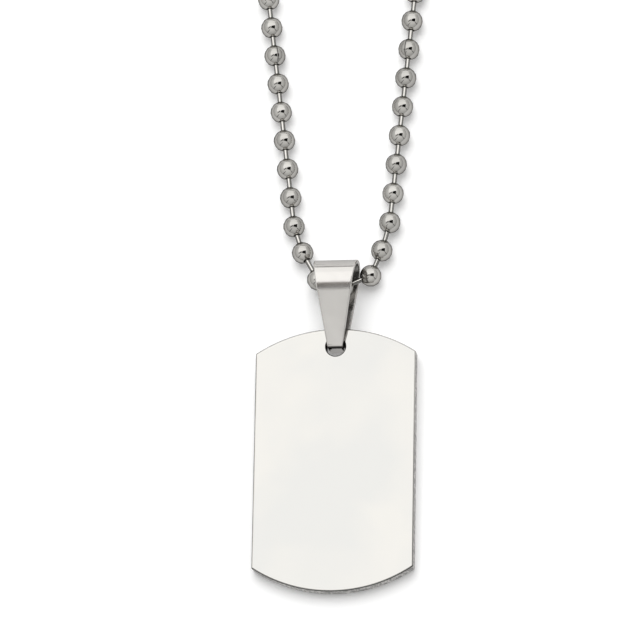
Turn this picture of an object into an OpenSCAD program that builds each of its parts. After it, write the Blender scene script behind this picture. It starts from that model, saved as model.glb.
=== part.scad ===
// Identification dog tag on a ball chain, laid flat.
// Millimetres. Z is up, Y runs from the tag towards the clasp, and the table is at Z = 0.

/* [Tag] */
// Width of the plate across its straight sides
tag_w = 17.2; // [14:0.1:20]
// Height of the plate between the middles of its bowed ends
tag_h = 28.6; // [24:0.1:36]
// Thickness of the plate
tag_t = 1.6; // [1.2:0.1:2]
// Rise of each bowed end above its corners
end_rise = 2.6; // [1.8:0.1:4]
// Width of the eased edge all round both faces
edge_ease = 0.15; // [0.05:0.01:0.3]
// Diameter of the hole for the bail
hole_d = 2.1; // [2:0.05:2.4]
// Metal left between the hole and the top edge
hole_rim = 0.9; // [0.7:0.05:1.2]

/* [Bail] */
// Thickness of the strap
strap_t = 0.45; // [0.35:0.01:0.55]
// Outer height of the loop that holds the chain
loop_d = 4.8; // [4.7:0.05:5.4]
// Distance from the middle of the tag's hole to the far end of the loop
bail_reach = 9.4; // [9.2:0.1:12]
// Distance that the fold reaches past the middle of the hole
fold_drop = 0.35; // [0.3:0.01:0.42]
// Outer radius of the two bends of the fold
bend_r = 0.58; // [0.57:0.01:0.6]
// Width of the strap at the far end of the loop
loop_w = 4.8; // [4.2:0.1:5]
// Width of the strap at the shoulder, where the loop meets the legs
shoulder_w = 3.75; // [3.2:0.05:4]
// Distance from the middle of the loop back to the shoulder
shoulder_back = 0.75; // [0.5:0.05:1.5]
// Width of the strap at the fold
foot_w = 1.6; // [1.3:0.05:1.62]
// Gap between the back leg and the tag that lies on it
seat_gap = 0.14; // [0.1:0.01:0.2]
// Gap between the tag's face and the front leg over it
face_gap = 0.25; // [0.15:0.01:0.5]

/* [Chain] */
// Length of the whole chain, fastened
chain_len = 559; // [420:1:640]
// Diameter of a ball
ball_d = 2.35; // [2.2:0.01:2.4]
// Distance between neighbouring balls
pitch = 3.3; // [3.2:0.01:3.6]
// Diameter of the pin between two balls
pin_d = 0.54; // [0.4:0.01:0.6]
// Diameter of the head that a ball holds
head_d = 1; // [0.95:0.01:1.1]
// Thickness of the head
head_t = 0.3; // [0.2:0.01:0.35]
// Gap round a pin in the mouth of a ball
mouth_gap = 0.13; // [0.1:0.01:0.15]
// Gap round a head inside its ball
head_gap = 0.2; // [0.15:0.01:0.22]
// Travel of a head along its ball, to each side
head_travel = 0.4; // [0.3:0.01:0.42]
// Angle that each strand leans out from the chain's axis
spread = 6.25; // [4:0.05:9]
// Angle that the chain's axis leans left of the tag's
lean = 1.1; // [0:0.1:3]

/* [Clasp] */
// Wall of the clasp
clasp_wall = 0.3; // [0.25:0.01:0.45]
// Gap between the clasp and the balls inside it
clasp_gap = 0.15; // [0.12:0.01:0.25]
// Diameter of the hole in each end of the clasp
clasp_mouth_d = 1.4; // [1.3:0.05:1.6]
// Width of the slot along the top of the clasp
clasp_slot_w = 1; // [0.8:0.05:1.3]

/* [Hidden] */
round_fn = 96;
ball_fn = 48;
pin_fn = 24;
cut_past = 1;
bend_step = 6;

hole_r = hole_d / 2;
ball_r = ball_d / 2;
loop_r = loop_d / 2;

// The plate's own places, measured from the middle of its hole
tag_top = hole_rim + hole_r;
tag_foot = tag_top - tag_h;
end_r = (pow(tag_w / 2, 2) + pow(end_rise, 2)) / (2 * end_rise);
seat_z = strap_t + seat_gap;
tag_tilt = asin(seat_z / tag_h);

// The strap's side view: a loop and two bends, joined by tangent legs
loop_y = bail_reach - loop_r;
bend_y = bend_r - fold_drop;
fold_h = seat_z + tag_t + face_gap + strap_t;
bend_z = fold_h - bend_r;
leg_run = norm([loop_y - bend_y, loop_r - bend_z]);
leg_slope = atan2(loop_r - bend_z, loop_y - bend_y) + asin((loop_r - bend_r) / leg_run);

// Balls between the two straight strands, chosen by hand along the bend through the bail:
// across, along from the middle of the loop, and up from lying on the table
chain_turn = [
    [-3.9, 3.75, 0.15],
    [-2.1, 0.5, 0.8],
    [0.6, -0.4, 0.65],
    [3.5, 1.05, 0],
    [4.65, 3.85, 0]
];
left_turn_balls = 2;
// Where the chain's axis crosses the middle of the loop
axis_x = 0.4;
// Where the straight strands start: out from the axis, and along it from the loop
strand_out = 5.2;
strand_along = 6.9;

// The closed route: two straight strands and one round arc that meets both smoothly
side_gaps = round((chain_len / pitch - len(chain_turn) - 2) / 2);
arc_turn = 180 + 2 * spread;
arc_rate = arc_turn * PI / 180;
over_top = (2 * side_gaps + 1) * pitch;
strand_run = (over_top - arc_rate * strand_out / cos(spread)) / (2 + arc_rate * tan(spread));
arc_r = (strand_out + strand_run * sin(spread)) / cos(spread);
arc_along = strand_along + strand_run * cos(spread) + arc_r * sin(spread);

// The clasp lies round the two end balls
clasp_bore_r = ball_r + clasp_gap;
clasp_r = clasp_bore_r + clasp_wall;
half_gap_turn = pitch / 2 / arc_r * 180 / PI;
clasp_along = arc_along + arc_r * cos(half_gap_turn);
clasp_half = arc_r * sin(half_gap_turn) + ball_r + clasp_gap + clasp_wall;

// The middle of the whole thing, which becomes the origin
middle_x = axis_x - arc_along * sin(lean);
far_y = loop_y + clasp_along * cos(lean) + clasp_r * cos(lean) + clasp_half * sin(lean);
middle_y = (far_y + tag_foot) / 2;

// From the chain's axis to the plate's own directions
function on_axis(across, along, up) = [
    axis_x + across * cos(lean) - along * sin(lean),
    loop_y + across * sin(lean) + along * cos(lean),
    up
];

// Height of a strand's ball: on the table, or inside the clasp
function strand_up(k) = k == side_gaps ? clasp_r : ball_r;

// Ball k of a strand, counted from the bail: side is -1 on the left and 1 on the right
function strand_ball(side, k) =
    let (gone = k * pitch, turn = (gone - strand_run) / arc_r * 180 / PI - spread)
    gone <= strand_run
        ? on_axis(side * (strand_out + gone * sin(spread)),
                  strand_along + gone * cos(spread), strand_up(k))
        : on_axis(side * arc_r * cos(turn), arc_along + arc_r * sin(turn), strand_up(k));

balls = concat(
    [for (k = [side_gaps:-1:0]) strand_ball(-1, k)],
    [for (p = chain_turn) [p[0], loop_y + p[1], ball_r + p[2]]],
    [for (k = [0:side_gaps]) strand_ball(1, k)]
);
left_balls = side_gaps + 1 + left_turn_balls;

// Puts the origin under the middle of the whole thing
module placed() {
    translate([-middle_x, -middle_y, 0]) children();
}

// Turns a child's Z axis from one point towards another
module aimed(from, to) {
    way = to - from;
    translate(from)
        rotate([0, acos(way[2] / norm(way)), atan2(way[1], way[0])])
            children();
}

// A plate with one bowed end, its middle at the origin: a disc with both rims eased,
// and a slab from the disc's middle on past the other end
module bowed_end() {
    slab_w = tag_w + 2 * cut_past;
    translate([0, tag_h / 2 - end_r, 0]) {
        rotate_extrude($fn = round_fn)
            polygon([
                [0, 0], [end_r - edge_ease, 0], [end_r, edge_ease],
                [end_r, tag_t - edge_ease], [end_r - edge_ease, tag_t], [0, tag_t]
            ]);
        translate([-slab_w / 2, -tag_h, 0]) cube([slab_w, tag_h, tag_t]);
    }
}

// A bar with its four long edges eased, whose sides are the plate's straight sides
module side_bar() {
    half = tag_w / 2;
    translate([0, tag_top + cut_past, 0])
        rotate([90, 0, 0])
            linear_extrude(height = tag_h + 2 * cut_past)
                polygon([
                    [-half, edge_ease], [edge_ease - half, 0], [half - edge_ease, 0], [half, edge_ease],
                    [half, tag_t - edge_ease], [half - edge_ease, tag_t],
                    [edge_ease - half, tag_t], [-half, tag_t - edge_ease]
                ]);
}

module tag() {
    color("gainsboro")
        placed()
            translate([0, tag_foot, 0]) rotate([tag_tilt, 0, 0]) translate([0, -tag_foot, 0])
                difference() {
                    intersection() {
                        side_bar();
                        translate([0, tag_top - tag_h / 2, 0]) bowed_end();
                        translate([0, tag_top - tag_h / 2, 0]) rotate([0, 0, 180]) bowed_end();
                    }
                    translate([0, 0, -cut_past])
                        cylinder(r = hole_r, h = tag_t + 2 * cut_past, $fn = round_fn);
                }
}

// Points along a round stretch of an outline, from one angle to another
function round_points(centre, r, from, to) =
    let (steps = ceil(abs(to - from) / bend_step))
    [for (i = [0:steps]) let (a = from + (to - from) * i / steps) centre + r * [cos(a), sin(a)]];

// The strap's side view, filled in, with its outside moved in by inset
module strap_side(inset) {
    polygon(concat(
        round_points([loop_y, loop_r], loop_r - inset, -90, 90 + leg_slope),
        round_points([bend_y, bend_z], bend_r - inset, 90 + leg_slope, 180),
        round_points([bend_y, bend_r], bend_r - inset, 180, 270)
    ));
}

// The strap's outline from above: narrow at the fold, wide at the end of the loop
module strap_plan() {
    shoulder_y = loop_y - shoulder_back;
    polygon([
        [-foot_w / 2, -fold_drop - cut_past], [foot_w / 2, -fold_drop - cut_past],
        [foot_w / 2, -fold_drop], [shoulder_w / 2, shoulder_y],
        [loop_w / 2, bail_reach], [loop_w / 2, bail_reach + cut_past],
        [-loop_w / 2, bail_reach + cut_past], [-loop_w / 2, bail_reach],
        [-shoulder_w / 2, shoulder_y], [-foot_w / 2, -fold_drop]
    ]);
}

module bail() {
    color("silver")
        placed()
            intersection() {
                rotate([90, 0, 90])
                    linear_extrude(height = loop_w + 2 * cut_past, center = true)
                        difference() {
                            strap_side(0);
                            strap_side(strap_t);
                        }
                translate([0, 0, -cut_past])
                    linear_extrude(height = loop_d + 2 * cut_past)
                        strap_plan();
            }
}

// The room inside a ball for its neighbour's head, and the mouth that the pin comes through
module ball_room() {
    cylinder(d = head_d + 2 * head_gap, h = head_t + 2 * head_travel, center = true, $fn = pin_fn);
    cylinder(d = pin_d + 2 * mouth_gap, h = ball_d, $fn = pin_fn);
}

// The pin from a ball's wall to the head that its neighbour holds, far away along Z
module ball_pin(far) {
    root = norm([head_d / 2 + head_gap, head_t / 2 + head_travel]);
    head_from = far - head_travel / 2 - head_t / 2;
    translate([0, 0, root]) cylinder(d = pin_d, h = head_from + head_t / 2 - root, $fn = pin_fn);
    translate([0, 0, head_from]) cylinder(d = head_d, h = head_t, $fn = pin_fn);
}

// Ball k of the chain: open towards the ball before it, with a pin to the ball after it
module link(k) {
    last = len(balls) - 1;
    before = k > 0 ? balls[k - 1] : 2 * balls[0] - balls[1];
    aimed(balls[k], before)
        difference() {
            sphere(d = ball_d, $fn = ball_fn);
            if (k > 0) ball_room();
        }
    if (k < last) aimed(balls[k], balls[k + 1]) ball_pin(norm(balls[k + 1] - balls[k]));
}

module left_chain() {
    color("darkgray") placed() for (k = [0:left_balls - 1]) link(k);
}

module right_chain() {
    color("darkgray") placed() for (k = [left_balls:len(balls) - 1]) link(k);
}

module clasp() {
    bore_half = clasp_half - clasp_wall;
    color("silver")
        placed()
            translate(on_axis(0, clasp_along, clasp_r))
                rotate([0, 0, lean])
                    difference() {
                        rotate([0, 90, 0])
                            cylinder(r = clasp_r, h = 2 * clasp_half, center = true, $fn = round_fn);
                        rotate([0, 90, 0])
                            cylinder(r = clasp_bore_r, h = 2 * bore_half, center = true, $fn = round_fn);
                        rotate([0, 90, 0])
                            cylinder(d = clasp_mouth_d, h = 2 * clasp_half + cut_past, center = true,
                                     $fn = round_fn);
                        translate([-bore_half, -clasp_slot_w / 2, 0])
                            cube([2 * bore_half, clasp_slot_w, clasp_r + cut_past]);
                    }
}

tag();
bail();
left_chain();
right_chain();
clasp();
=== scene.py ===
"""Looks for the identification dog tag necklace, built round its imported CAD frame.

Metres, in the CAD frame: Z up from the table, Y from the tag along the chain to the clasp.
Each operator makes one piece of the necklace and stands it in for its CAD node.
"""

import math

import bmesh
import bpy
from bpy.props import FloatProperty, FloatVectorProperty, IntProperty, PointerProperty
from mathutils import Matrix, Vector


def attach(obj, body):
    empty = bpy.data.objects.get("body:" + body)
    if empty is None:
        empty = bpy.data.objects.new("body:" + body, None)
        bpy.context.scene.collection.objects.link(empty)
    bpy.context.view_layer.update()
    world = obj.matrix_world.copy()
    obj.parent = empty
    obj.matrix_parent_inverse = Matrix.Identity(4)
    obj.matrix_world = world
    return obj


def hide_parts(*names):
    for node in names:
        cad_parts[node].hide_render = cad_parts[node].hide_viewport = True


bl_info = {
    "name": "Dog Tag Necklace",
    "version": (1, 0, 0),
    "blender": (4, 5, 0),
    "location": "View3D > Sidebar > Dog Tag",
    "description": "Makes the plate, bail, ball chain and clasp of a dog tag necklace",
    "category": "Object",
}

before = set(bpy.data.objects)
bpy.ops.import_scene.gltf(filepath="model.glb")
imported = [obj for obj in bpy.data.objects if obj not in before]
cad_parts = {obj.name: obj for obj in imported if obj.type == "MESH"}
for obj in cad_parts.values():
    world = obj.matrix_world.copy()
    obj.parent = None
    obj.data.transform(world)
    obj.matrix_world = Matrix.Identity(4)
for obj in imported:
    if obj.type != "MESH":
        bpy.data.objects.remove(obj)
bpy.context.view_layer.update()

MM = 0.001
# The table's share of colour as the metal mirrors it, beside how it looks itself: a darker copy, painted
# shade in the reflections
MIRRORED_TABLE = 0.30
# Light that comes through the table from below, as seen, and as mirrored in the metal, where the
# stronger glow is painted light in the reflections
TABLE_GLOW, MIRRORED_GLOW = 0.17, 0.43
# Share of the tent's own light that reaches the table, beside how it looks in the metal
TENT_SHARE = 0.55
# Finishes along a chain, in the order of its materials: the balls' steel, the pins' steel with painted
# highlight and shade, and the mouths' painted shade
BALL, PIN, MOUTH = 0, 1, 2
# Rounds in which the bail's slope settles
SLOPE_ROUNDS = 12
# Edges that turn by more than this are taken as sharp, and rounded
SHARP = math.radians(60)


# Sizes and colours


def length_property(name, description, default, least, digits=5):
    """A length that a user may change, in metres."""
    return FloatProperty(
        name=name, description=description, default=default, min=least, precision=digits,
        unit="LENGTH", subtype="DISTANCE",
    )


def colour_property(name, description, default):
    """A colour that a user may change."""
    return FloatVectorProperty(
        name=name, description=description, default=default,
        subtype="COLOR", size=3, min=0.0, max=1.0,
    )


class TagSizes(bpy.types.PropertyGroup):
    """Sizes of the steel plate."""

    width: length_property("Width", "Width across the straight sides", 17.2 * MM, 0.01)
    height: length_property(
        "Height", "Height between the middles of the bowed ends", 28.6 * MM, 0.02,
    )
    thickness: length_property("Thickness", "Thickness of the plate", 1.6 * MM, 0.0005)
    end_rise: length_property(
        "End Rise", "Rise of each bowed end above its corners", 2.6 * MM, 0.001,
    )
    hole: length_property("Hole", "Diameter of the hole for the bail", 2.1 * MM, 0.001)
    hole_rim: length_property(
        "Hole Rim", "Metal between the hole and the top edge", 0.9 * MM, 0.0002,
    )
    edge_round: length_property(
        "Edge Round", "Rounding of the edges all round both faces", 0.15 * MM, 0.0,
    )
    corner_round: length_property(
        "Corner Round", "Rounding of the four corners, seen from the face", 0.1 * MM, 0.0,
    )
    hole_round: length_property("Hole Round", "Rounding of the rims of the hole", 0.1 * MM, 0.0)


class BailSizes(bpy.types.PropertyGroup):
    """Sizes of the folded strap."""

    thickness: length_property("Thickness", "Thickness of the strap", 0.45 * MM, 0.0001)
    loop: length_property("Loop", "Outer height of the loop that holds the chain", 4.8 * MM, 0.001)
    reach: length_property(
        "Reach", "From the middle of the tag's hole to the far end of the loop", 9.4 * MM, 0.005,
    )
    drop: length_property(
        "Fold Drop", "How far the fold reaches past the middle of the hole", 0.35 * MM, 0.0,
    )
    bend: length_property(
        "Bend Radius", "Outer radius of the two bends of the fold", 0.58 * MM, 0.0001,
    )
    loop_width: length_property(
        "Loop Width", "Width of the strap at the far end of the loop", 4.8 * MM, 0.001,
    )
    shoulder_width: length_property(
        "Shoulder Width", "Width of the strap where the loop meets the legs", 3.75 * MM, 0.001,
    )
    shoulder_back: length_property(
        "Shoulder Back", "From the middle of the loop back to the shoulder", 1.1 * MM, 0.0,
    )
    foot_width: length_property("Foot Width", "Width of the strap at the fold", 1.6 * MM, 0.0005)
    seat_gap: length_property(
        "Seat Gap", "Gap between the back leg and the tag that lies on it", 0.14 * MM, 0.0,
    )
    face_gap: length_property(
        "Face Gap", "Gap between the tag's face and the front leg over it", 0.25 * MM, 0.0,
    )
    crown_stretch: FloatProperty(
        name="Crown Stretch", description="Length of the loop's front half against a round one",
        default=1.42, min=1.0, max=2.0,
    )
    crown_ease: length_property(
        "Crown Ease", "How far the loop's bend runs out gently into the front leg", 0.5 * MM, 0.0,
    )
    edge_round: length_property("Edge Round", "Rounding of the strap's long edges", 0.14 * MM, 0.0)


class ChainSizes(bpy.types.PropertyGroup):
    """Sizes of the ball chain and of the route that it lies on."""

    length: length_property(
        "Length", "Length of the whole chain, fastened", 559 * MM, 0.3, digits=4,
    )
    ball: length_property("Ball", "Diameter of a ball", 2.35 * MM, 0.001)
    pitch: length_property("Pitch", "Distance between neighbouring balls", 3.3 * MM, 0.001)
    pin: length_property("Pin", "Diameter of the pin between two balls", 0.54 * MM, 0.0001)
    mouth_gap: length_property(
        "Mouth Gap", "Gap round a pin in the mouth of a ball", 0.13 * MM, 0.0,
    )
    mouth_depth: length_property("Mouth Depth", "Depth of the gap round a pin", 0.22 * MM, 0.0)
    lip: length_property("Lip", "Width and depth of the turned-in lip of a mouth", 0.05 * MM, 0.0)
    spread: FloatProperty(
        name="Spread", description="Angle that each strand leans out from the chain's axis",
        default=math.radians(6.25), min=0.0, unit="ROTATION", subtype="ANGLE",
    )
    lean: FloatProperty(
        name="Lean", description="Angle that the chain's axis leans left of the tag's",
        default=math.radians(1.1), unit="ROTATION", subtype="ANGLE",
    )
    sides: IntProperty(
        name="Sides", description="Sides of each ring of the balls", default=14, min=8, max=48,
    )
    rings: IntProperty(
        name="Rings", description="Rings along each ball", default=7, min=5, max=31,
    )


class ClaspSizes(bpy.types.PropertyGroup):
    """Sizes of the sleeve that fastens the chain."""

    wall: length_property("Wall", "Wall of the sleeve", 0.3 * MM, 0.0001)
    gap: length_property("Gap", "Gap between the sleeve and the balls inside it", 0.15 * MM, 0.0)
    mouth: length_property("Mouth", "Diameter of the hole in each end", 1.4 * MM, 0.0005)
    slot: length_property("Slot", "Width of the slot along the top", 1.0 * MM, 0.0002)
    edge_round: length_property("Edge Round", "Rounding of the sleeve's edges", 0.07 * MM, 0.0)


class NecklaceColours(bpy.types.PropertyGroup):
    """Colours of the steel and of the table."""

    tag: colour_property("Plate", "Colour of the polished plate", (0.735, 0.72, 0.688))
    tag_rim: colour_property("Plate Rim", "Colour of the plate's ground edges", (0.5, 0.49, 0.472))
    bail: colour_property("Bail", "Colour of the strap", (0.765, 0.742, 0.715))
    chain: colour_property("Chain", "Colour of the balls and pins", (0.625, 0.61, 0.58))
    clasp: colour_property("Clasp", "Colour of the sleeve", (0.66, 0.65, 0.63))
    table: colour_property("Table", "Colour of the table under the necklace", (0.90, 0.90, 0.90))


# Where things lie


def tag_places(scene):
    """The plate's own places, measured from the middle of its hole."""
    tag, bail = scene.dog_tag_plate, scene.dog_tag_bail
    top = tag.hole_rim + tag.hole / 2
    seat = bail.thickness + bail.seat_gap
    return {
        "top": top,
        "foot": top - tag.height,
        "end_r": ((tag.width / 2) ** 2 + tag.end_rise ** 2) / (2 * tag.end_rise),
        "seat": seat,
        "tilt": math.asin(seat / tag.height),
    }


def bail_places(scene):
    """The strap's side view: a loop and two bends, joined by tangent legs."""
    tag, bail = scene.dog_tag_plate, scene.dog_tag_bail
    loop_r = bail.loop / 2
    loop_y = bail.reach - loop_r
    bend_y = bail.bend - bail.drop
    fold_h = tag_places(scene)["seat"] + tag.thickness + bail.face_gap + bail.thickness
    bend_z = fold_h - bail.bend
    run = math.hypot(loop_y - bend_y, loop_r - bend_z)
    rise = math.atan2(loop_r - bend_z, loop_y - bend_y)
    # How far the stretched crown reaches out depends on the front leg's slope, and the slope on it
    slope = 0.0
    for _ in range(SLOPE_ROUNDS):
        crown_reach = loop_r * math.hypot(bail.crown_stretch * math.sin(slope), math.cos(slope))
        slope = rise + math.asin((crown_reach - bail.bend) / run)
    return {
        "loop_r": loop_r, "loop_y": loop_y, "bend_y": bend_y, "bend_z": bend_z, "slope": slope,
    }


class ChainRoute:
    """The closed route of the chain: two straight strands, one arc, and a bend through the bail."""

    # Balls of the bend, in mm: across, along from the middle of the loop, and lifted off the table
    TURN = (
        (-3.9, 3.75, 0.15), (-2.1, 0.5, 0.8), (0.6, -0.4, 0.65), (3.5, 1.05, 0.0), (4.65, 3.85, 0.0),
    )
    LEFT_TURN_BALLS = 2
    # The chain's axis by the loop, and the first ball of each strand across and along from it
    AXIS_X = 0.4 * MM
    STRAND_OUT = 5.2 * MM
    STRAND_ALONG = 6.9 * MM

    def __init__(self, scene):
        chain, clasp = scene.dog_tag_chain, scene.dog_tag_clasp
        self.ball_r = chain.ball / 2
        self.pitch, self.lean, self.spread = chain.pitch, chain.lean, chain.spread
        self.loop_y = bail_places(scene)["loop_y"]
        self.side_gaps = round((chain.length / chain.pitch - len(self.TURN) - 2) / 2)
        rate = math.pi + 2 * chain.spread
        over_top = (2 * self.side_gaps + 1) * chain.pitch
        cos, sin = math.cos(chain.spread), math.sin(chain.spread)
        self.run = (over_top - rate * self.STRAND_OUT / cos) / (2 + rate * sin / cos)
        self.arc_r = (self.STRAND_OUT + self.run * sin) / cos
        self.arc_along = self.STRAND_ALONG + self.run * cos + self.arc_r * sin
        half_gap_turn = chain.pitch / 2 / self.arc_r
        self.clasp_r = self.ball_r + clasp.gap + clasp.wall
        self.clasp_along = self.arc_along + self.arc_r * math.cos(half_gap_turn)
        self.clasp_half = self.arc_r * math.sin(half_gap_turn) + self.clasp_r
        far_y = (
            self.loop_y + (self.clasp_along + self.clasp_r) * math.cos(chain.lean)
            + self.clasp_half * math.sin(chain.lean)
        )
        middle_x = self.AXIS_X - self.arc_along * math.sin(chain.lean)
        middle_y = (far_y + tag_places(scene)["foot"]) / 2
        self.hole = Vector((-middle_x, -middle_y, 0))
        left = [self.strand_ball(-1, k) for k in range(self.side_gaps, -1, -1)]
        turn = [
            Vector((x * MM, self.loop_y + y * MM, self.ball_r + z * MM)) for x, y, z in self.TURN
        ]
        right = [self.strand_ball(1, k) for k in range(self.side_gaps + 1)]
        self.balls = [p + self.hole for p in left + turn + right]
        self.left_balls = self.side_gaps + 1 + self.LEFT_TURN_BALLS

    def on_axis(self, across, along, up):
        """From the chain's axis to the plate's own directions."""
        cos, sin = math.cos(self.lean), math.sin(self.lean)
        return Vector((
            self.AXIS_X + across * cos - along * sin,
            self.loop_y + across * sin + along * cos,
            up,
        ))

    def strand_ball(self, side, k):
        """Ball k of a strand, counted from the bail: side is -1 on the left and 1 on the right."""
        up = self.clasp_r if k == self.side_gaps else self.ball_r
        gone = k * self.pitch
        if gone <= self.run:
            return self.on_axis(
                side * (self.STRAND_OUT + gone * math.sin(self.spread)),
                self.STRAND_ALONG + gone * math.cos(self.spread), up,
            )
        turn = (gone - self.run) / self.arc_r - self.spread
        return self.on_axis(
            side * self.arc_r * math.cos(turn), self.arc_along + self.arc_r * math.sin(turn), up
        )


# Finishes


class Shader:
    """A node tree being built: adds nodes, joins sockets and sets plain numbers."""

    def __init__(self, name):
        self.material = bpy.data.materials.new(name)
        self.material.use_nodes = True
        self.tree = self.material.node_tree
        self.tree.nodes.clear()
        self.out = self.add("ShaderNodeOutputMaterial")
        self.surface = self.add("ShaderNodeBsdfPrincipled")
        self.join(self.surface, "BSDF", self.out, "Surface")
        self.where = self.add("ShaderNodeTexCoord")

    def add(self, kind, **settings):
        node = self.tree.nodes.new(kind)
        for name, value in settings.items():
            setattr(node, name, value)
        return node

    def join(self, a, out_name, b, in_name):
        self.tree.links.new(a.outputs[out_name], b.inputs[in_name])

    def set(self, node, **values):
        for name, value in values.items():
            node.inputs[name.replace("_", " ")].default_value = value

    def millimetres(self, scale=(1.0, 1.0, 1.0), turn=(0.0, 0.0, 0.0)):
        """Object coordinates in millimetres, stretched and turned for a pattern."""
        node = self.add("ShaderNodeMapping", vector_type="POINT")
        self.set(node, Scale=[s / MM for s in scale], Rotation=turn)
        self.join(self.where, "Object", node, "Vector")
        return node

    def noise(self, coords, scale, detail=4.0, roughness=0.5, distortion=0.0):
        """A cloudy pattern over these coordinates."""
        node = self.add("ShaderNodeTexNoise")
        self.set(node, Scale=scale, Detail=detail, Roughness=roughness, Distortion=distortion)
        self.join(coords, "Vector", node, "Vector")
        return node

    def ramp(self, source, out_name, stops):
        """A colour ramp with stops of position and colour."""
        node = self.add("ShaderNodeValToRGB")
        while len(node.color_ramp.elements) < len(stops):
            node.color_ramp.elements.new(0.5)
        for element, (place, colour) in zip(node.color_ramp.elements, stops):
            element.position = place
            element.color = (*colour, 1.0)
        self.join(source, out_name, node, "Fac")
        return node

    def mixed(self, share, under, over):
        """One colour node's colour, with a plain colour laid over it by a share."""
        node = self.add("ShaderNodeMixRGB")
        self.set(node, Color2=(*over, 1.0))
        self.join(share, "Result", node, "Fac")
        self.join(under, "Color", node, "Color1")
        return node

    def range(self, source, out_name, low, high, from_low=0.3, from_high=0.7):
        """A number from low to high as the source goes between its own two limits."""
        node = self.add("ShaderNodeMapRange")
        self.set(node, From_Min=from_low, From_Max=from_high, To_Min=low, To_Max=high)
        self.join(source, out_name, node, "Value")
        return node

    def bump(self, source, out_name, height, strength, under=None):
        """A bump of this height in metres, laid over another bump."""
        node = self.add("ShaderNodeBump")
        self.set(node, Strength=strength, Distance=height)
        self.join(source, out_name, node, "Height")
        if under:
            self.join(under, "Normal", node, "Normal")
        return node


def tinted(colour, gain):
    """A colour made brighter or darker, as a whole or channel by channel."""
    gains = gain if isinstance(gain, tuple) else (gain,) * 3
    return tuple(min(1.0, c * g) for c, g in zip(colour, gains))


def polished_steel(name, colour, grain=(1.0, 1.0, 1.0), turn=0.0, rough=(0.06, 0.14),
                   scratch=0.5, ripple=0.5, dull=0.9, rim_tint=0.6, spots=0.22, seamed=False):
    """Polished steel: faint stains, wiped roughness, hairlines, soft ripples, and a ball's seam."""
    s = Shader(name)
    stains = s.noise(s.millimetres(), spots, detail=3.0, roughness=0.5, distortion=0.3)
    tone = s.ramp(stains, "Fac", ((0.40, tinted(colour, dull)), (0.60, colour)))
    wiped = s.noise(s.millimetres(grain, (0.0, 0.0, turn)), 1.1, detail=7.0, roughness=0.66)
    s.join(s.range(wiped, "Fac", *rough), "Result", s.surface, "Roughness")
    hair = s.noise(s.millimetres([g * 6 for g in grain], (0.0, 0.0, turn)), 3.0, detail=3.0)
    soft = s.noise(s.millimetres(), 0.35, detail=1.0)
    relief = s.bump(soft, "Fac", 0.012 * MM, ripple)
    relief = s.bump(hair, "Fac", 0.0012 * MM, scratch, relief)
    if seamed:
        seam = s.add("ShaderNodeAttribute")
        seam.attribute_name = "seam"
        line = s.range(seam, "Fac", 0.0, 1.0, 0.977, 0.9955)
        tone = s.mixed(line, tone, tinted(colour, 0.25))
        relief = s.bump(line, "Result", -0.03 * MM, 0.6, relief)
    s.join(tone, "Color", s.surface, "Base Color")
    s.join(relief, "Normal", s.surface, "Normal")
    s.set(s.surface, Metallic=1.0, Specular_Tint=(rim_tint, rim_tint, rim_tint, 1.0))
    return s.material


def pin_steel(name, colour):
    """A pin with a painted highlight along its top and painted shade down its sides.

    On a pin the seam's attribute is 1 along the top and falls off round it.
    """
    s = Shader(name)
    turned = s.add("ShaderNodeAttribute")
    turned.attribute_name = "seam"
    # Painted shade down the sides and a painted highlight along the top
    tone = s.ramp(turned, "Fac", (
        (0.70, tinted(colour, 0.34)), (0.92, tinted(colour, 0.5)), (0.99, tinted(colour, 1.45)),
    ))
    worn = s.noise(s.millimetres(), 2.5, detail=5.0, roughness=0.6)
    s.join(s.range(worn, "Fac", 0.12, 0.26), "Result", s.surface, "Roughness")
    s.join(tone, "Color", s.surface, "Base Color")
    s.join(s.bump(worn, "Fac", 0.004 * MM, 0.5), "Normal", s.surface, "Normal")
    s.set(s.surface, Metallic=1.0)
    return s.material


def ground_steel(name, colour, rough=(0.3, 0.45)):
    """A ground edge: fine upright grinding marks and a dull, uneven shine."""
    s = Shader(name)
    marks = s.noise(s.millimetres((4.0, 4.0, 1.2)), 1.0, detail=7.0, roughness=0.75)
    tone = s.ramp(marks, "Fac", (
        (0.38, tinted(colour, 0.35)), (0.5, tinted(colour, 0.9)), (0.6, tinted(colour, 1.7)),
    ))
    s.join(tone, "Color", s.surface, "Base Color")
    s.join(s.range(marks, "Fac", *rough), "Result", s.surface, "Roughness")
    pits = s.noise(s.millimetres(), 7.0, detail=5.0, roughness=0.7)
    low = s.bump(pits, "Fac", 0.012 * MM, 0.5)
    s.join(s.bump(marks, "Fac", 0.02 * MM, 0.6, low), "Normal", s.surface, "Normal")
    s.set(s.surface, Metallic=1.0)
    return s.material


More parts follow.
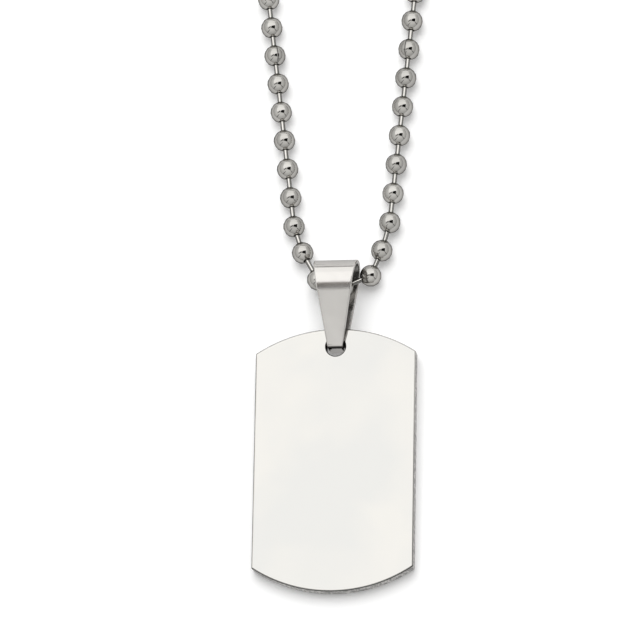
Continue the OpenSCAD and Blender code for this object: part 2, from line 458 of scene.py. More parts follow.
def table_paper(name, colour):
    """The pale table: plain paper with a faint tooth. The metal mirrors a copy of it with a darker
    colour and a stronger glow, painted shade and light in the reflections.
    """
    s = Shader(name)
    fibres = s.noise(s.millimetres(), 1.4, detail=6.0, roughness=0.65)
    tone = s.ramp(fibres, "Fac", ((0.3, tinted(colour, 0.985)), (0.7, colour)))
    s.join(tone, "Color", s.surface, "Base Color")
    s.join(s.bump(fibres, "Fac", 0.01 * MM, 0.2), "Normal", s.surface, "Normal")
    # The copy that the metal mirrors: a darker colour and a stronger glow, painted shade and painted
    # light in its reflections
    mirrored = s.add("ShaderNodeBsdfPrincipled")
    s.set(mirrored, Base_Color=(*tinted(colour, MIRRORED_TABLE), 1.0), Roughness=1.0)
    s.set(s.surface, Roughness=0.9, Specular_IOR_Level=0.1)
    for shader, glow in ((s.surface, TABLE_GLOW), (mirrored, MIRRORED_GLOW)):
        s.set(shader, Emission_Color=(1.0, 1.0, 1.0, 1.0), Emission_Strength=glow)
    ray, choice = s.add("ShaderNodeLightPath"), s.add("ShaderNodeMixShader")
    s.join(ray, "Is Glossy Ray", choice, "Fac")
    s.tree.links.new(s.surface.outputs["BSDF"], choice.inputs[1])
    s.tree.links.new(mirrored.outputs["BSDF"], choice.inputs[2])
    s.join(choice, "Shader", s.out, "Surface")
    return s.material


# Mesh helpers


def new_object(name, bm, materials):
    """An object at the origin, from a finished bmesh."""
    mesh = bpy.data.meshes.new(name)
    bm.to_mesh(mesh)
    bm.free()
    for material in materials:
        mesh.materials.append(material)
    made = bpy.data.objects.new(name, mesh)
    bpy.context.scene.collection.objects.link(made)
    return made


def make_piece(name, bm, materials, node, even_faces=False):
    """A finished piece, which stands for its CAD node."""
    piece = new_object(name, bm, materials)
    if even_faces:
        even = piece.modifiers.new("even_shading", "WEIGHTED_NORMAL")
        even.mode, even.weight, even.keep_sharp = "FACE_AREA", 100, True
    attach(piece, "root")
    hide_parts(node)


def spin_corner(bm, start, centre, angle, steps, axis=(0, 0, 1)):
    """Sweeps a lone corner into an arc of edges and gives the arc's first and last corner."""
    first = bm.verts.new(start)
    swept = bmesh.ops.spin(
        bm, geom=[first], cent=centre, axis=axis, angle=angle, steps=steps, use_merge=False
    )
    last = next(g for g in swept["geom_last"] if isinstance(g, bmesh.types.BMVert))
    return first, last


def round_edges(bm, edges, width, segments, clamp=True):
    """Rounds these edges by a width, in a few segments."""
    bmesh.ops.bevel(
        bm, geom=edges, offset=width, offset_type="OFFSET", segments=segments, profile=0.5,
        affect="EDGES", clamp_overlap=clamp, material=-1,
    )


def new_corners(extruded):
    """The corners that an extrusion added."""
    return [g for g in extruded["geom"] if isinstance(g, bmesh.types.BMVert)]


def face_away(bm, middle):
    """Turns an open shell's faces away from its middle."""
    bmesh.ops.recalc_face_normals(bm, faces=bm.faces[:])
    if sum(face.normal.dot(face.calc_center_median() - middle) for face in bm.faces) < 0:
        bmesh.ops.reverse_faces(bm, faces=bm.faces[:])


# The pieces


class DOGTAG_OT_plate(bpy.types.Operator):
    """Make the steel plate, with bowed ends, rounded edges and a drilled hole"""

    bl_idname = "dogtag.plate"
    bl_label = "Make Plate"
    bl_options = {"REGISTER", "UNDO"}

    ARC_STEPS, HOLE_SIDES = 40, 64
    # Bands beside the edge and the hole, as a share of their rounding, that keep it off the flat face
    EDGE_BAND, HOLE_BAND = 1.3, 1.5
    # What is nearer to the hole's middle than its radius and this belongs to the hole
    HOLE_MARGIN = 0.1 * MM
    # Finishes of the plate, in the order of its materials: the face, the ground edge, and the roundings
    # and the hole's wall, which carry painted shade and painted highlight
    FACE, EDGE, FRONT_LINE, SIDE_LINE, BORE = range(5)
    # The upward share of a face's direction, below which it is wall and above which it is flat
    WALL, FLAT = 0.3, 0.9999
    # The share towards the right in the hole, or towards the foot outside, that gives a face painted
    # shade
    TO_RIGHT, TO_FOOT = 0.3, 0.2

    def outline(self, bm, tag, places):
        """The plate's face: bowed ends, straight sides, a narrow band along the edge, and the hole."""
        half = math.asin(tag.width / 2 / places["end_r"])
        top_from, top_to = spin_corner(
            bm, (tag.width / 2, places["top"] - tag.end_rise, 0),
            (0, places["top"] - places["end_r"], 0), 2 * half, self.ARC_STEPS,
        )
        foot_from, foot_to = spin_corner(
            bm, (-tag.width / 2, places["foot"] + tag.end_rise, 0),
            (0, places["foot"] + places["end_r"], 0), 2 * half, self.ARC_STEPS,
        )
        bm.edges.new((top_to, foot_from))
        bm.edges.new((foot_to, top_from))
        bmesh.ops.contextual_create(bm, geom=bm.edges[:])
        bmesh.ops.bevel(
            bm, geom=[top_from, top_to, foot_from, foot_to], offset=tag.corner_round,
            offset_type="OFFSET", segments=4, profile=0.5, affect="VERTICES",
            clamp_overlap=True, material=-1,
        )
        bmesh.ops.inset_region(
            bm, faces=bm.faces[:], thickness=tag.edge_round * self.EDGE_BAND,
            use_boundary=True, use_even_offset=True,
        )
        middle = max(bm.faces, key=lambda face: face.calc_area())
        gap = middle.edges[:]
        bmesh.ops.delete(bm, geom=[middle], context="FACES_ONLY")
        rings = []
        for radius in (tag.hole / 2, tag.hole / 2 + tag.hole_round * self.HOLE_BAND):
            ring = bmesh.ops.create_circle(
                bm, cap_ends=False, radius=radius, segments=self.HOLE_SIDES
            )["verts"]
            rings.append(list({edge for corner in ring for edge in corner.link_edges}))
        bmesh.ops.bridge_loops(bm, edges=rings[0] + rings[1])
        bmesh.ops.triangle_fill(bm, use_beauty=True, edges=gap + rings[1], normal=(0, 0, 1))
        bmesh.ops.recalc_face_normals(bm, faces=bm.faces[:])

    def mark_finishes(self, bm, reach):
        """Gives each face its finish, with painted shade and painted highlight on the roundings and the
        hole.

        The hole's wall and the rounding on its left get the darkest painted shade. Its other roundings
        and those towards the foot get painted shade, and those of the sides and the top a painted
        highlight.
        """
        for face in bm.faces:
            level, in_hole = abs(face.normal.z), face.calc_center_median().xy.length < reach
            face.smooth = level < self.FLAT
            if not face.smooth:
                face.material_index = self.FACE
            elif in_hole:
                darkest = level < self.WALL or face.normal.x > self.TO_RIGHT
                face.material_index = self.BORE if darkest else self.FRONT_LINE
            elif level < self.WALL:
                face.material_index = self.EDGE
            else:
                in_front = -face.normal.y > self.TO_FOOT
                face.material_index = self.FRONT_LINE if in_front else self.SIDE_LINE

    def execute(self, context):
        tag, places = context.scene.dog_tag_plate, tag_places(context.scene)
        bm = bmesh.new()
        self.outline(bm, tag, places)
        raised = new_corners(bmesh.ops.extrude_face_region(bm, geom=bm.faces[:]))
        bmesh.ops.translate(bm, verts=raised, vec=(0, 0, tag.thickness))
        bmesh.ops.recalc_face_normals(bm, faces=bm.faces[:])
        rims = [e for e in bm.edges if e.calc_face_angle(0.0) > SHARP]
        reach = tag.hole / 2 + self.HOLE_MARGIN
        hole_rims = [e for e in rims if all(v.co.xy.length < reach for v in e.verts)]
        outer_rims = [e for e in rims if e not in hole_rims]
        round_edges(bm, hole_rims, tag.hole_round, 3, clamp=False)
        round_edges(bm, outer_rims, tag.edge_round, 4, clamp=False)
        self.mark_finishes(bm, reach)
        lay = (
            Matrix.Translation(ChainRoute(context.scene).hole + Vector((0, places["foot"], 0)))
            @ Matrix.Rotation(places["tilt"], 4, "X")
            @ Matrix.Translation((0, -places["foot"], 0))
        )
        bmesh.ops.transform(bm, matrix=lay, verts=bm.verts[:])
        colours = context.scene.dog_tag_colours
        face = polished_steel(
            "plate_polish", colours.tag, grain=(1.0, 0.12, 1.0), turn=0.15, rough=(0.05, 0.10),
            scratch=0.5, ripple=0.35, dull=(0.945, 0.958, 0.975), rim_tint=0.9, spots=0.09,
        )
        edge = ground_steel("plate_edge", colours.tag_rim)
        # Copies of the rim's colour, darker or lighter by where the roundings face: painted shade and
        # painted highlight
        front_line = polished_steel(
            "plate_bevel", tinted(colours.tag_rim, 0.26), rough=(0.12, 0.2), dull=0.8
        )
        side_line = polished_steel(
            "plate_side_bevel", tinted(colours.tag_rim, 1.15), rough=(0.12, 0.2), dull=0.8
        )
        bore = polished_steel(
            "plate_bore", tinted(colours.tag_rim, 0.08), rough=(0.12, 0.2), dull=0.8, rim_tint=0.1
        )
        make_piece("tag_plate", bm, (face, edge, front_line, side_line, bore), "tag")
        return {"FINISHED"}


class DOGTAG_OT_bail(bpy.types.Operator):
    """Make the tapered strap, folded through the plate's hole and round the chain"""

    bl_idname = "dogtag.bail"
    bl_label = "Make Bail"
    bl_options = {"REGISTER", "UNDO"}

    # Steps of the loop and of the fold's two bends, and cuts of the legs
    LOOP_STEPS, TOP_STEPS, LOW_STEPS, LEG_CUTS = 64, 10, 12, 40
    # Smoothing passes where the loop's bend runs out into the front leg
    EASE_PASSES = 4
    # The share of a face's direction that looks inwards on the inside of the strap
    LOOKS_IN = 0.3
    # The part of the fold that gets painted shade where it turns down into the hole, by how far its
    # faces look towards the tag's foot
    CREASE_FROM, CREASE_TO = 0.74, 0.99
    STRAP, INSIDE, CREASE = range(3)

    def width_at(self, bail, places, y):
        """Width of the strap along the plate: a taper up to its shoulder, and another past it."""
        shoulder_y = places["loop_y"] - bail.shoulder_back
        if y < shoulder_y:
            part = (y + bail.drop) / (shoulder_y + bail.drop)
            return bail.foot_width + (bail.shoulder_width - bail.foot_width) * part
        part = (y - shoulder_y) / (bail.reach - shoulder_y)
        return bail.shoulder_width + (bail.loop_width - bail.shoulder_width) * part

    def side_view(self, bm, bail, places):
        """The strap's outside from the side: three arcs, joined by the two legs."""
        right, quarter = (1, 0, 0), math.pi / 2
        loop_r, slope, bend = places["loop_r"], places["slope"], bail.bend
        past_top = math.atan(bail.crown_stretch * math.tan(slope))
        loop_from, loop_to = spin_corner(
            bm, (0, places["loop_y"], 0), (0, places["loop_y"], loop_r),
            math.pi + past_top, self.LOOP_STEPS, right,
        )
        crown = [v for v in bm.verts if v.co.y < places["loop_y"] and v.co.z > loop_r]
        bmesh.ops.scale(
            bm, verts=crown, vec=(1, bail.crown_stretch, 1),
            space=Matrix.Translation((0, -places["loop_y"], 0)),
        )
        lean = Vector((0, math.cos(quarter + slope), math.sin(quarter + slope)))
        top_middle = Vector((0, places["bend_y"], places["bend_z"]))
        top_from, top_to = spin_corner(
            bm, top_middle + lean * bend, top_middle, quarter - slope, self.TOP_STEPS, right
        )
        low_from, low_to = spin_corner(
            bm, (0, -bail.drop, bend), (0, places["bend_y"], bend), quarter, self.LOW_STEPS, right
        )
        bm.edges.new((top_to, low_from))
        shoulder = loop_to.co.copy()
        legs = [bm.edges.new(ends) for ends in ((loop_to, top_from), (low_to, loop_from))]
        bmesh.ops.subdivide_edges(bm, edges=legs, cuts=self.LEG_CUTS)
        eased = [v for v in bm.verts if (v.co - shoulder).length < bail.crown_ease]
        for _ in range(self.EASE_PASSES):
            bmesh.ops.smooth_vert(bm, verts=eased, factor=0.5, use_axis_y=True, use_axis_z=True)

    def mark_inside(self, bm, bail, places):
        """Finishes the inside, whose faces look to the line between the bends, and paints shade on the
        fold where it turns down into the hole.
        """
        far = Vector((0, places["loop_y"], places["loop_r"]))
        near = Vector((0, places["bend_y"], places["bend_z"] - bail.bend))
        for face in bm.faces:
            middle = face.calc_center_median()
            part = min(1.0, max(0.0, (middle.y - near.y) / (far.y - near.y)))
            inward = near.lerp(far, part) - middle
            inward.x = 0
            folded = self.CREASE_FROM < -face.normal.y < self.CREASE_TO
            if face.normal.dot(inward.normalized()) > self.LOOKS_IN:
                face.material_index = self.INSIDE
            elif folded and face.normal.z > 0 and middle.y < 0:
                face.material_index = self.CREASE
            else:
                face.material_index = self.STRAP

    def execute(self, context):
        bail, places = context.scene.dog_tag_bail, bail_places(context.scene)
        bm = bmesh.new()
        self.side_view(bm, bail, places)
        left = bm.verts[:]
        right = new_corners(bmesh.ops.extrude_edge_only(bm, edges=bm.edges[:]))
        for corners, side in ((left, -1), (right, 1)):
            for v in corners:
                v.co.x = side * self.width_at(bail, places, v.co.y) / 2
        face_away(bm, Vector((0, places["loop_y"], places["loop_r"])))
        bmesh.ops.solidify(bm, geom=bm.faces[:], thickness=bail.thickness)
        bmesh.ops.recalc_face_normals(bm, faces=bm.faces[:])
        self.mark_inside(bm, bail, places)
        # The inner wall's corners lie elsewhere along the tapers, so each takes its own place's width
        for v in bm.verts:
            side = 1 if v.co.x > 0 else -1
            v.co.x = side * self.width_at(bail, places, v.co.y) / 2
        long_edges = [e for e in bm.edges if e.calc_face_angle(0.0) > SHARP]
        round_edges(bm, long_edges, bail.edge_round, 4)
        for face in bm.faces:
            face.smooth = True
        bmesh.ops.translate(bm, verts=bm.verts[:], vec=ChainRoute(context.scene).hole)
        colour = context.scene.dog_tag_colours.bail
        strap = polished_steel(
            "bail_polish", colour, grain=(0.25, 1.0, 1.0), rough=(0.13, 0.18),
            scratch=0.6, ripple=0.4, dull=0.95, rim_tint=0.7,
        )
        inside = polished_steel(
            "bail_inside", tinted(colour, 0.78), grain=(0.3, 1.0, 1.0), rough=(0.14, 0.3),
            scratch=1.0, ripple=1.0, dull=0.6, rim_tint=0.3,
        )
        # Painted shade on the fold where it turns down into the hole
        crease = polished_steel(
            "bail_crease", tinted(colour, 0.15), grain=(0.3, 1.0, 1.0), rough=(0.2, 0.3),
            scratch=1.0, dull=0.5, rim_tint=0.3,
        )
        make_piece("bail_strap", bm, (strap, inside, crease), "bail", even_faces=True)
        return {"FINISHED"}


class DOGTAG_OT_chains(bpy.types.Operator):
    """Make the two halves of the ball chain, each fused into one body along its route"""

    bl_idname = "dogtag.chains"
    bl_label = "Make Chains"
    bl_options = {"REGISTER", "UNDO"}

    # Half the opening that a closed end of the first or last ball starts from
    POLE_TURN = math.radians(4)
    # How far the last pin of the left half reaches into the next ball
    PIN_REACH = 0.18 * MM
    # Edges that turn by more than this stay sharp in the shading
    CRISP = math.radians(40)
    # The two balls whose seams show lie this far either way from the split, seam on this side
    SEAM_BALL, SEAM_SIDE = 9, -1

    def mouth_stations(self, chain, centre, way):
        """Rings of one mouth, from the ball's lip in to the pin: middle, radius and finish."""
        r, pin_r = chain.ball / 2, chain.pin / 2
        mouth_r = pin_r + chain.mouth_gap
        lip = math.sqrt(r * r - (mouth_r + chain.lip) ** 2)
        return [
            (centre + way * (lip - chain.lip), mouth_r, MOUTH),
            (centre + way * (lip - chain.mouth_depth), mouth_r, MOUTH),
            (centre + way * (lip - chain.mouth_depth), pin_r, PIN),
        ]

    def ball_stations(self, chain, centre, before, after):
        """Rings of one ball, mouth to mouth: middle, facing, radius, and finish up to the next."""
        r = chain.ball / 2
        lip_turn = math.asin((chain.pin / 2 + chain.mouth_gap + chain.lip) / r)
        back = (centre - before).normalized() if before else (after - centre).normalized()
        front = (after - centre).normalized() if after else back
        stations = []
        if before:
            inner = self.mouth_stations(chain, centre, -back)
            finishes = (MOUTH, MOUTH, BALL)
            stations = [
                (middle, back, radius, finish)
                for (middle, radius, _), finish in zip(reversed(inner), finishes)
            ]
        from_turn = lip_turn if before else self.POLE_TURN
        to_turn = math.pi - (lip_turn if after else self.POLE_TURN)
        for i in range(chain.rings):
            part = i / (chain.rings - 1)
            turn = from_turn + (to_turn - from_turn) * part
            facing = back.lerp(front, part).normalized()
            middle = centre - facing * r * math.cos(turn)
            stations.append((middle, facing, r * math.sin(turn), BALL))
        if after:
            stations += [
                (middle, front, radius, finish)
                for middle, radius, finish in self.mouth_stations(chain, centre, front)
            ]
        return stations

    def strand_stations(self, chain, balls, before_first, after_last, seen):
        """Rings of a whole strand, and the side that the seam is on, or None between the balls.

        Seams lie underneath, turned a little from ball to ball, apart from the one that is seen.
        """
        stations, seams = [], []
        for k, centre in enumerate(balls):
            before = balls[k - 1] if k else before_first
            after = balls[k + 1] if k + 1 < len(balls) else after_last
            ball = self.ball_stations(chain, centre, before, after)
            stations += ball
            seam_side = self.SEAM_SIDE if k == seen else chain.sides // 2 + 5 * k % 7 - 3
            seams += [seam_side if finish == BALL else None for _, _, _, finish in ball]
        if before_first:
            # The pin in this mouth is the other half's, so the mouth is closed behind it
            middle, facing, _, finish = stations[0]
            stations[0] = (middle, facing, chain.pin / 8, finish)
        if after_last:
            way = (after_last - balls[-1]).normalized()
            reach = (after_last - balls[-1]).length - chain.ball / 2 + self.PIN_REACH
            stations.append((balls[-1] + way * reach, way, chain.pin / 2, PIN))
            seams.append(None)
        return stations, seams

    def strand(self, chain, balls, before_first, after_last, seen):
        """One closed body: a long sheet, rolled round the stations and welded along its edge."""
        stations, seams = self.strand_stations(chain, balls, before_first, after_last, seen)
        rows, sides = len(stations) - 1, chain.sides
        bm = bmesh.new()
        bmesh.ops.create_grid(bm, x_segments=sides, y_segments=rows, size=1.0)
        for face in bm.faces:
            row = int((face.calc_center_median().y + 1) / 2 * rows)
            face.material_index = stations[row][3]
            face.smooth = True
        seam = bm.verts.layers.float.new("seam")
        corners = sorted(bm.verts, key=lambda v: (round(v.co.y, 6), round(v.co.x, 6)))
        # Up is carried from ring to ring, so that the sheet never twists
        up = Vector((0, 0, 1))
        for i, (middle, facing, radius, _) in enumerate(stations):
            up = (up - facing * up.dot(facing)).normalized()
            side = facing.cross(up)
            # Between the balls the attribute counts from the top, where the pins' painted highlight lies
            seam_side = seams[i] or 0
            for j, v in enumerate(corners[i * (sides + 1):(i + 1) * (sides + 1)]):
                turn = 2 * math.pi * (j % sides) / sides
                v.co = middle + (up * math.cos(turn) + side * math.sin(turn)) * radius
                v[seam] = math.cos(2 * math.pi * (j - seam_side) / sides)
        bmesh.ops.remove_doubles(bm, verts=bm.verts[:], dist=0.0005 * MM)
        ends = [e for e in bm.edges if e.is_boundary]
        bmesh.ops.holes_fill(bm, edges=ends, sides=sides)
        bmesh.ops.recalc_face_normals(bm, faces=bm.faces[:])
        for edge in bm.edges:
            edge.smooth = edge.calc_face_angle(0.0) < self.CRISP
        return bm

    def execute(self, context):
        chain, route = context.scene.dog_tag_chain, ChainRoute(context.scene)
        steel = polished_steel(
            "chain_polish", context.scene.dog_tag_colours.chain,
            rough=(0.04, 0.09), scratch=0.4, ripple=0.5, dull=0.88, rim_tint=0.1, seamed=True,
        )
        # The pins' steel, with a painted highlight along the top and painted shade down the sides
        pin = pin_steel("pin_polish", context.scene.dog_tag_colours.chain)
        # The mouths' near-black steel is painted shade in the gap round each pin
        mouth = ground_steel("mouth_shade", (0.1, 0.095, 0.09), rough=(0.45, 0.6))
        split, balls = route.left_balls, route.balls
        seen_left, seen_right = split - self.SEAM_BALL, self.SEAM_BALL
        halves = (
            ("left_chain_beads", balls[:split], None, balls[split], "left_chain", seen_left),
            ("right_chain_beads", balls[split:], balls[split - 1], None, "right_chain", seen_right),
        )
        for name, run, before, after, node, seen in halves:
            bm = self.strand(chain, run, before, after, seen)
            make_piece(name, bm, (steel, pin, mouth), node)
        return {"FINISHED"}


class DOGTAG_OT_clasp(bpy.types.Operator):
    """Make the slotted sleeve that holds the chain's two end balls"""

    bl_idname = "dogtag.clasp"
    bl_label = "Make Clasp"
    bl_options = {"REGISTER", "UNDO"}

    SLOT_STEPS, ROUND_STEPS = 4, 44
    # Edges that turn by more than this are rounded
    ROUNDED = math.radians(50)

    def ring(self, bm, clasp, route):
        """The edges of one ring round the sleeve's axis, with corners where the slot's sides are."""
        along, slot_half = (1, 0, 0), math.asin(clasp.slot / 2 / route.clasp_r)
        top = Matrix.Rotation(slot_half, 3, "X") @ Vector((0, 0, route.clasp_r))
        _, last = spin_corner(
            bm, Vector((-route.clasp_half, 0, 0)) + top, (0, 0, 0),
            2 * math.pi - 2 * slot_half, self.ROUND_STEPS, along,
        )
        spin_corner(bm, last.co.copy(), (0, 0, 0), 2 * slot_half, self.SLOT_STEPS, along)
        bmesh.ops.remove_doubles(bm, verts=bm.verts[:], dist=0.001 * MM)
        return bm.edges[:]

    def execute(self, context):
        clasp, route = context.scene.dog_tag_clasp, ChainRoute(context.scene)
        bore_length = 2 * (route.clasp_half - clasp.wall)
        bm = bmesh.new()
        edges = self.ring(bm, clasp, route)
        first_rim = edges[:]
        walls = []
        for step in (clasp.wall, bore_length, clasp.wall):
            grown = bmesh.ops.extrude_edge_only(bm, edges=edges)
            corners = new_corners(grown)
            bmesh.ops.translate(bm, verts=corners, vec=(step, 0, 0))
            fresh = set(corners)
            edges = [
                g for g in grown["geom"]
                if isinstance(g, bmesh.types.BMEdge) and g.verts[0] in fresh and g.verts[1] in fresh
            ]
            walls.append([g for g in grown["geom"] if isinstance(g, bmesh.types.BMFace)])
        window = [
            f for f in walls[1]
            if f.calc_center_median().z > 0 and abs(f.calc_center_median().y) < clasp.slot / 2
        ]
        bmesh.ops.delete(bm, geom=window, context="FACES")
        shrink = clasp.mouth / 2 / route.clasp_r
        for rim in (first_rim, edges):
            corners = new_corners(bmesh.ops.extrude_edge_only(bm, edges=rim))
            bmesh.ops.scale(bm, verts=corners, vec=(1, shrink, shrink))
        face_away(bm, Vector())
        bmesh.ops.solidify(bm, geom=bm.faces[:], thickness=clasp.wall)
        bmesh.ops.recalc_face_normals(bm, faces=bm.faces[:])
        sharp = [e for e in bm.edges if e.calc_face_angle(0.0) > self.ROUNDED]
        round_edges(bm, sharp, clasp.edge_round, 3)
        for face in bm.faces:
            face.smooth = True
        lay = (
            Matrix.Translation(route.hole + route.on_axis(0, route.clasp_along, route.clasp_r))
            @ Matrix.Rotation(route.lean, 4, "Z")
        )
        bmesh.ops.transform(bm, matrix=lay, verts=bm.verts[:])
        steel = polished_steel(
            "clasp_polish", context.scene.dog_tag_colours.clasp, grain=(0.2, 1.0, 1.0),
            rough=(0.09, 0.2), scratch=0.8, ripple=0.6, dull=0.88, rim_tint=0.6,
        )
        make_piece("clasp_sleeve", bm, (steel,), "clasp")
        return {"FINISHED"}


class DOGTAG_OT_stage(bpy.types.Operator):
    """Make the table, the studio light and the camera"""

    bl_idname = "dogtag.stage"
    bl_label = "Make Stage"
    bl_options = {"REGISTER", "UNDO"}

    # The camera's place, from the photograph: height above the table, swing and roll in degrees,
    # and what it looks at, measured from the hole
    CAMERA_HEIGHT, CAMERA_SWING, CAMERA_ROLL = 71.31, 25.90, 1.213
    CAMERA_AIM = Vector((-1.913, 3.281, 1.0)) * MM
    CAMERA_DISTANCE = 480 * MM
    CAMERA_LENS, CAMERA_SENSOR = 252.3, 36.0
    TABLE_HALF, TABLE_DROP = 4.0, 0.02 * MM
    # The tent's greys by height, and where its far wall starts to brighten and by how much height
    TENT_GREYS = ((0.0, 0.45), (0.75, 0.80))
    FAR_WALL_FROM, FAR_WALL_LIFT = 0.7, 0.95
    # Lights a metre up, that shine straight down: place from the hole, size and watts
    SOFTBOXES = (
        ("softbox", (0.12, 0.42, 1.0), (1.9, 0.9), 2.4),
        ("far_softbox", (0.12, 1.87, 1.0), (1.9, 2.0), 4.1),
    )
    # The light that softens the shadows and isn't mirrored
    FILL = ((-0.08, 0.5, 1.0), (0.9, 1.0), 8.6)
    # What the metal mirrors dark, from the hole: a card on the left of the camera, the strip that
    # joins it to the card on the right, two seams of the tent, and the far frame of the softbox
    DARK_SHAPES = (
        ((-0.80, -0.50), (-0.28, -0.225), (-0.12, -0.225), (-0.04, -0.25),
         (-0.04, 0.04), (-0.20, 0.03), (-0.30, -0.06), (-0.80, -0.40)),
        ((-0.04, -0.25), (0.04, -0.27), (0.04, -0.20), (-0.04, -0.20)),
        ((0.04, -0.27), (0.10, -0.28), (0.90, -0.50), (0.95, 0.36), (0.30, 0.18), (0.04, 0.05)),
        ((0.82, -0.55), (0.90, -0.50), (6.0, -4.0), (5.5, -4.6)),
        ((-0.30, -0.62), (-0.25, -0.67), (-4.2, -5.4), (-4.8, -5.0)),
        ((-1.2, 2.87), (-1.2, 3.9), (1.4, 3.9), (1.4, 2.87)),
    )
    CARD_HEIGHT = 0.99
    # The patch of the left card that the bail's crown mirrors: the middle and half of its width,
    # from where to where along it the card turns paler, and how much light it gives there
    PATCH_MIDDLE, PATCH_HALF = -0.15, 0.06
    PALER_FROM, PALER_TO, PALEST = -0.22, -0.07, 0.24

    def make_table(self, colours):
        """A wide pale table, a hair below the necklace so that the two never share a plane."""
        bm = bmesh.new()
        bmesh.ops.create_grid(bm, x_segments=8, y_segments=8, size=self.TABLE_HALF)
        bmesh.ops.translate(bm, verts=bm.verts[:], vec=(0, 0, -self.TABLE_DROP))
        paper = table_paper("table_paper", colours.table)
        new_object("table_top", bm, (paper,))

    def make_light(self, name, where, size, power, aim, glossy=True):
        """A rectangular light that shines from one place towards another."""
        light = bpy.data.lights.new(name, "AREA")
        light.shape = "RECTANGLE"
        light.size, light.size_y = size
        light.energy = power
        lamp = bpy.data.objects.new(name, light)
        lamp.location = where
        lamp.rotation_euler = (where - aim).to_track_quat("Z", "Y").to_euler()
        lamp.visible_camera = False
        lamp.visible_glossy = glossy
        bpy.context.scene.collection.objects.link(lamp)

    def card_black(self, hole):
        """The card's black, which turns paler along the patch that the bail's crown mirrors."""
        s = Shader("card_black")
        along = s.add("ShaderNodeSeparateXYZ")
        s.join(s.where, "Object", along, "Vector")
        paler = s.range(
            along, "Y", 0.0, self.PALEST, hole.y + self.PALER_FROM, hole.y + self.PALER_TO
        )
        in_patch = s.add("ShaderNodeMath", operation="COMPARE")
        in_patch.inputs[1].default_value = hole.x + self.PATCH_MIDDLE
        in_patch.inputs[2].default_value = self.PATCH_HALF
        s.join(along, "X", in_patch, 0)
        glow = s.add("ShaderNodeMath", operation="MULTIPLY")
        s.join(paler, "Result", glow, 0)
        s.join(in_patch, "Value", glow, 1)
        s.join(glow, "Value", s.surface, "Emission Strength")
        s.set(s.surface, Emission_Color=(1.0, 0.93, 0.86, 1.0))
        s.set(s.surface, Base_Color=(0.01, 0.01, 0.01, 1.0), Roughness=1.0, Specular_IOR_Level=0.0)
        return s.material

    def make_dark_card(self, hole):
        """The dark shapes over the necklace, which the metal mirrors and nothing else sees."""
        bm = bmesh.new()
        for outline in self.DARK_SHAPES:
            corners = [bm.verts.new((x, y, 0)) for x, y in outline]
            bmesh.ops.contextual_create(bm, geom=corners)
        bmesh.ops.translate(bm, verts=bm.verts[:], vec=hole + Vector((0, 0, self.CARD_HEIGHT)))
        card = new_object("dark_card", bm, (self.card_black(hole),))
        card.visible_camera = card.visible_diffuse = card.visible_shadow = False

    def make_camera(self, hole):
        """The camera at the photograph's angle, with the plate's length upright in the picture."""
        up, swing = math.radians(self.CAMERA_HEIGHT), math.radians(self.CAMERA_SWING)
        back = Vector((
            math.cos(up) * math.sin(swing), -math.cos(up) * math.cos(swing), math.sin(up)
        ))
        top = Vector((0, 1, 0))
        top = (top - back * top.dot(back)).normalized()
        right = top.cross(back)
        turn = Matrix.Rotation(math.radians(self.CAMERA_ROLL), 3, back)
        right, top = turn @ right, turn @ top
        data = bpy.data.cameras.new("photo_camera")
        data.sensor_width = self.CAMERA_SENSOR
        data.lens = self.CAMERA_LENS
        data.clip_start, data.clip_end = 0.01, 50.0
        camera = bpy.data.objects.new("photo_camera", data)
        turned = Matrix((right, top, back)).transposed().to_4x4()
        camera.matrix_world = (
            Matrix.Translation(hole + self.CAMERA_AIM + back * self.CAMERA_DISTANCE) @ turned
        )
        bpy.context.scene.collection.objects.link(camera)
        bpy.context.scene.camera = camera

    def make_world(self):
        """The tent round the table: dim low down, brighter overhead and on its far wall."""
        world = bpy.data.worlds.new("studio_tent")
        world.use_nodes = True
        nodes, links = world.node_tree.nodes, world.node_tree.links
        way, height = nodes.new("ShaderNodeTexCoord"), nodes.new("ShaderNodeSeparateXYZ")
        walls = nodes.new("ShaderNodeValToRGB")
        for element, (place, grey) in zip(walls.color_ramp.elements, self.TENT_GREYS):
            element.position = place
            element.color = (grey, grey, grey * 0.99, 1.0)
        links.new(way.outputs["Generated"], height.inputs["Vector"])
        far_wall, level = nodes.new("ShaderNodeMapRange"), nodes.new("ShaderNodeMath")
        far_wall.inputs["From Min"].default_value = self.FAR_WALL_FROM
        far_wall.inputs["To Max"].default_value = self.FAR_WALL_LIFT
        links.new(height.outputs["Y"], far_wall.inputs["Value"])
        links.new(far_wall.outputs["Result"], level.inputs[0])
        links.new(height.outputs["Z"], level.inputs[1])
        links.new(level.outputs["Value"], walls.inputs["Fac"])
        links.new(walls.outputs["Color"], nodes["Background"].inputs["Color"])
        ray, strength = nodes.new("ShaderNodeLightPath"), nodes.new("ShaderNodeMapRange")
        strength.inputs["To Min"].default_value = 1.0
        strength.inputs["To Max"].default_value = TENT_SHARE
        links.new(ray.outputs["Is Diffuse Ray"], strength.inputs["Value"])
        links.new(strength.outputs["Result"], nodes["Background"].inputs["Strength"])
        bpy.context.scene.world = world

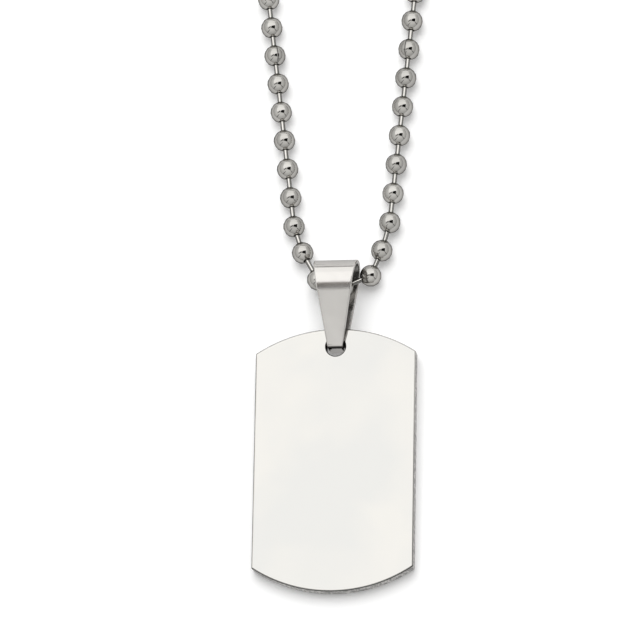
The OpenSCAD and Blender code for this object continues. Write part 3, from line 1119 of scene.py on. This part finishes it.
    def execute(self, context):
        hole = ChainRoute(context.scene).hole
        self.make_table(context.scene.dog_tag_colours)
        self.make_world()
        for name, place, size, watts in self.SOFTBOXES:
            where = hole + Vector(place)
            self.make_light(name, where, size, watts, aim=Vector((where.x, where.y, 0)))
        place, size, watts = self.FILL
        self.make_light("fill", hole + Vector(place), size, watts, aim=hole, glossy=False)
        self.make_dark_card(hole)
        self.make_camera(hole)
        context.scene.view_settings.view_transform = "Standard"
        return {"FINISHED"}


class DOGTAG_PT_panel(bpy.types.Panel):
    """Lists the necklace's sizes, colours and operators"""

    bl_idname = "DOGTAG_PT_panel"
    bl_label = "Dog Tag Necklace"
    bl_space_type = "VIEW_3D"
    bl_region_type = "UI"
    bl_category = "Dog Tag"

    def draw(self, context):
        scene = context.scene
        for title, group, operator in PANEL_ROWS:
            box = self.layout.box()
            box.label(text=title)
            settings = getattr(scene, group)
            for name in settings.bl_rna.properties.keys():
                if name not in ("rna_type", "name"):
                    box.prop(settings, name)
            box.operator(operator)


PANEL_ROWS = (
    ("Plate", "dog_tag_plate", "dogtag.plate"),
    ("Bail", "dog_tag_bail", "dogtag.bail"),
    ("Chain", "dog_tag_chain", "dogtag.chains"),
    ("Clasp", "dog_tag_clasp", "dogtag.clasp"),
    ("Colours and Stage", "dog_tag_colours", "dogtag.stage"),
)
GROUPS = (
    ("dog_tag_plate", TagSizes),
    ("dog_tag_bail", BailSizes),
    ("dog_tag_chain", ChainSizes),
    ("dog_tag_clasp", ClaspSizes),
    ("dog_tag_colours", NecklaceColours),
)
CLASSES = (
    TagSizes, BailSizes, ChainSizes, ClaspSizes, NecklaceColours,
    DOGTAG_OT_plate, DOGTAG_OT_bail, DOGTAG_OT_chains, DOGTAG_OT_clasp, DOGTAG_OT_stage,
    DOGTAG_PT_panel,
)


def register():
    for cls in CLASSES:
        bpy.utils.register_class(cls)
    for name, group in GROUPS:
        setattr(bpy.types.Scene, name, PointerProperty(type=group))


def unregister():
    for name, _ in GROUPS:
        delattr(bpy.types.Scene, name)
    for cls in reversed(CLASSES):
        bpy.utils.unregister_class(cls)


def main():
    register()
    bpy.ops.dogtag.stage()
    bpy.ops.dogtag.plate()
    bpy.ops.dogtag.bail()
    bpy.ops.dogtag.chains()
    bpy.ops.dogtag.clasp()
    bpy.context.view_layer.update()


if __name__ == "__main__":
    main()
